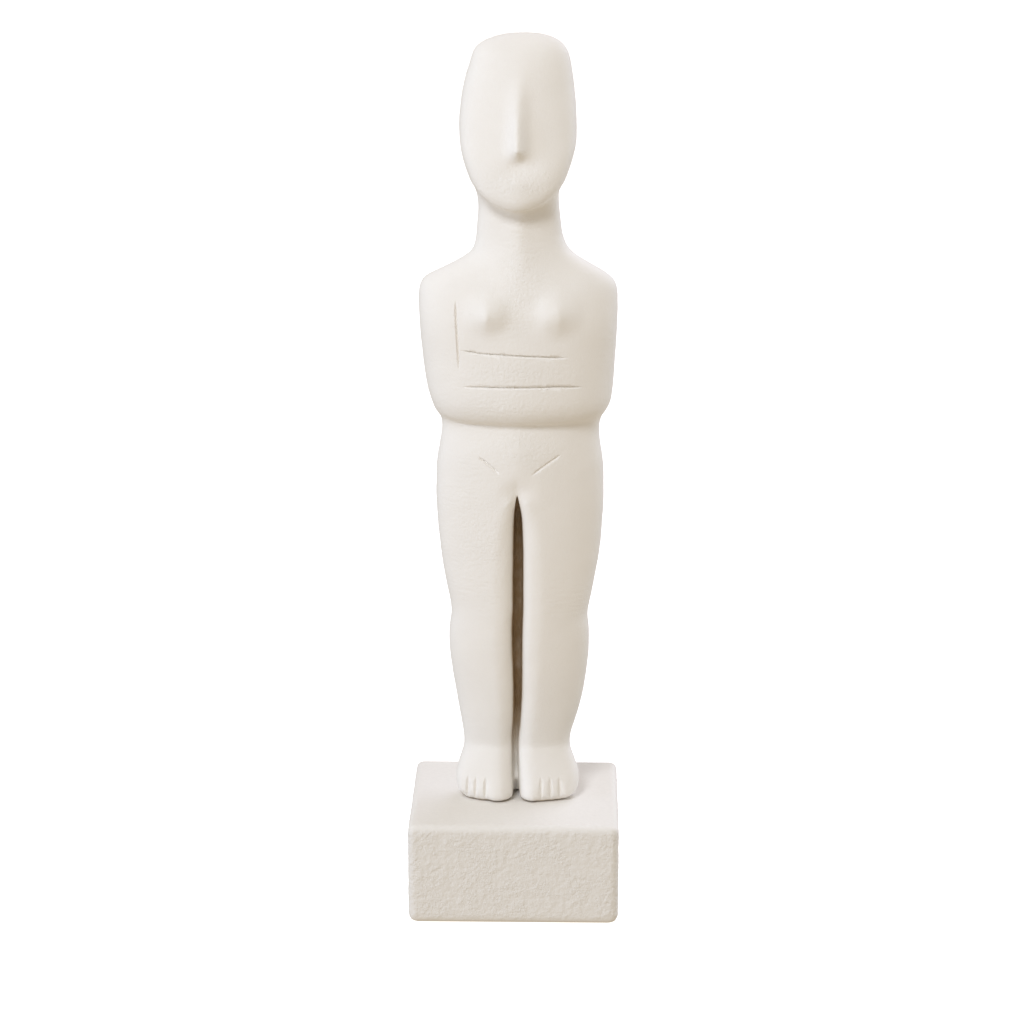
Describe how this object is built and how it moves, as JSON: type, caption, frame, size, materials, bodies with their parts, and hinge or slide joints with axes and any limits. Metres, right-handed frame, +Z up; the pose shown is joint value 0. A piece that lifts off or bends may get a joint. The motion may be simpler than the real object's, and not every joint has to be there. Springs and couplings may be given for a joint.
{
  "type": "cycladic figurine",
  "caption": "Standing folded-arm figurine with a faceless shield-shaped head, cast in matt off-white stone, on a rounded rectangular plinth.",
  "frame": {"origin": "middle of the plinth's underside", "axes": "+Z up through the figure, which faces -Y, with its left hand towards +X"},
  "size_m": [0.06, 0.0548, 0.2488],
  "materials": {
    "figurine": "matt cream-white cast stone with a fine grain",
    "plinth": "matt cream-white cast stone with rough grained sides"
  },
  "bodies": {
    "root": {"figurine": "figurine", "plinth": "plinth"}
  },
  "joints": []
}
